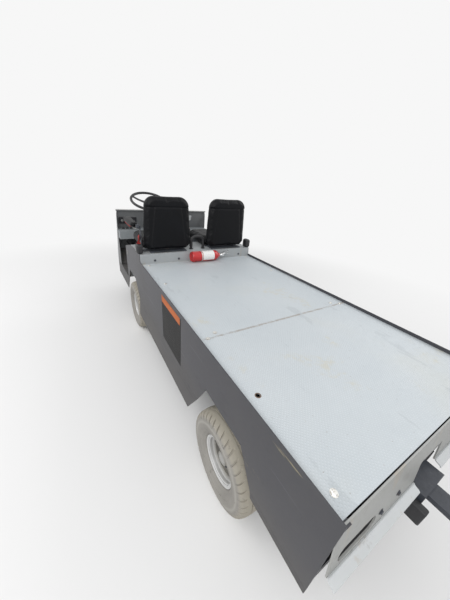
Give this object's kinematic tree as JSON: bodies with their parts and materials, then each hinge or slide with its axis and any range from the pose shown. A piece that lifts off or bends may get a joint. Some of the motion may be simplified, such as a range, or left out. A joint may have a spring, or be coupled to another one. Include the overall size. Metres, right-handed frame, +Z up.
{
  "type": "electric utility vehicle",
  "caption": "Flat-deck electric burden carrier with a seat box for two, a raked front cowl, pneumatic tyres and a rear tow hitch.",
  "frame": {"origin": "on the ground, under the middle of the overall length and width", "axes": "+X forwards, +Y to the driver's left, +Z up"},
  "size_m": [3.57, 1.2, 1.374],
  "materials": {
    "side_paint": "satin grey",
    "deck_steel": "worn pale tread plate",
    "frame_paint": "semi-gloss black",
    "light_paint": "satin light grey",
    "bumper_paint": "worn pale grey",
    "dark_steel": "dark grey steel",
    "seat_vinyl": "black vinyl",
    "black_plastic": "black",
    "silver_steel": "zinc plated",
    "tyre": "dusty rubber",
    "rim_steel": "silver paint",
    "axle_paint": "black",
    "battery_case": "black case",
    "lamp_housing": "clear over chrome",
    "extinguisher_red": "gloss red",
    "chrome_parts": "polished"
  },
  "bodies": {
    "chassis": {"chassis_frame": "frame_paint", "body_side_left": "side_paint", "body_side_right": "side_paint", "deck_plate_front": "deck_steel", "deck_plate_rear": "deck_steel", "seat_box": "light_paint", "rear_bumper": "bumper_paint", "tow_hitch": "dark_steel", "floor_pan": "deck_steel", "cowl_shell": "side_paint", "dash_panel": "light_paint", "front_bumper": "frame_paint", "headlamp_left": "lamp_housing", "headlamp_right": "lamp_housing", "seat_frame_driver": "dark_steel", "seat_frame_passenger": "dark_steel", "seat_base_driver": "seat_vinyl", "seat_base_passenger": "seat_vinyl", "seat_back_driver": "seat_vinyl", "seat_back_passenger": "seat_vinyl", "belt_retractor_left": "black_plastic", "belt_retractor_right": "black_plastic", "hip_restraint": "black_plastic", "steering_column": "frame_paint", "front_axle": "axle_paint", "rear_axle": "axle_paint", "drive_motor": "dark_steel", "battery_pack": "battery_case", "brake_pedal": "dark_steel", "accelerator_pedal": "dark_steel", "extinguisher_bottle": "extinguisher_red", "extinguisher_valve": "chrome_parts"},
    "arm_rest": {"armrest": "black_plastic"},
    "steering": {"steering_wheel": "black_plastic"},
    "knuckle_left": {"knuckle_left": "axle_paint"},
    "knuckle_right": {"knuckle_right": "axle_paint"},
    "tie_rod": {"tie_rod": "silver_steel"},
    "wheel_front_left": {"rim_front_left": "rim_steel", "tyre_front_left": "tyre"},
    "wheel_front_right": {"rim_front_right": "rim_steel", "tyre_front_right": "tyre"},
    "wheel_rear_left": {"rim_rear_left": "rim_steel", "tyre_rear_left": "tyre"},
    "wheel_rear_right": {"rim_rear_right": "rim_steel", "tyre_rear_right": "tyre"}
  },
  "joints": [
    {"name": "steer_left", "type": "hinge", "parent": "chassis", "child": "knuckle_left", "pos_m": [0.76, 0.395, 0.25], "axis": [0, 0, 1], "range_deg": [-25, 25]},
    {"name": "steer_right", "type": "hinge", "parent": "chassis", "child": "knuckle_right", "pos_m": [0.76, -0.395, 0.25], "axis": [0, 0, 1], "range_deg": [-25, 25]},
    {"name": "spin_front_left", "type": "hinge", "parent": "knuckle_left", "child": "wheel_front_left", "pos_m": [0.76, 0.51, 0.25], "axis": [0, 1, 0], "continuous": true},
    {"name": "spin_front_right", "type": "hinge", "parent": "knuckle_right", "child": "wheel_front_right", "pos_m": [0.76, -0.51, 0.25], "axis": [0, 1, 0], "continuous": true},
    {"name": "spin_rear_left", "type": "hinge", "parent": "chassis", "child": "wheel_rear_left", "pos_m": [-1.05, 0.515, 0.25], "axis": [0, 1, 0], "continuous": true},
    {"name": "spin_rear_right", "type": "hinge", "parent": "chassis", "child": "wheel_rear_right", "pos_m": [-1.05, -0.515, 0.25], "axis": [0, 1, 0], "continuous": true},
    {"name": "tie_rod_turn", "type": "hinge", "parent": "knuckle_left", "child": "tie_rod", "pos_m": [0.64, 0.395, 0.25], "axis": [0, 0, 1], "range_deg": [-25, 25]},
    {"name": "steering_turn", "type": "hinge", "parent": "chassis", "child": "steering", "pos_m": [1.065, 0.3, 1.26], "axis": [-0.3746, 0, 0.9272], "range_deg": [-300, 300]},
    {"name": "armrest_fold", "type": "hinge", "parent": "chassis", "child": "arm_rest", "pos_m": [0.52, 0.546, 1.1003], "axis": [0, -1, 0], "range_deg": [0, 90]}
  ],
  "couplings": [
    {"joint": "steer_right", "follows": "steer_left", "ratio": 1},
    {"joint": "tie_rod_turn", "follows": "steer_left", "ratio": -1},
    {"joint": "steering_turn", "follows": "steer_left", "ratio": 12}
  ]
}
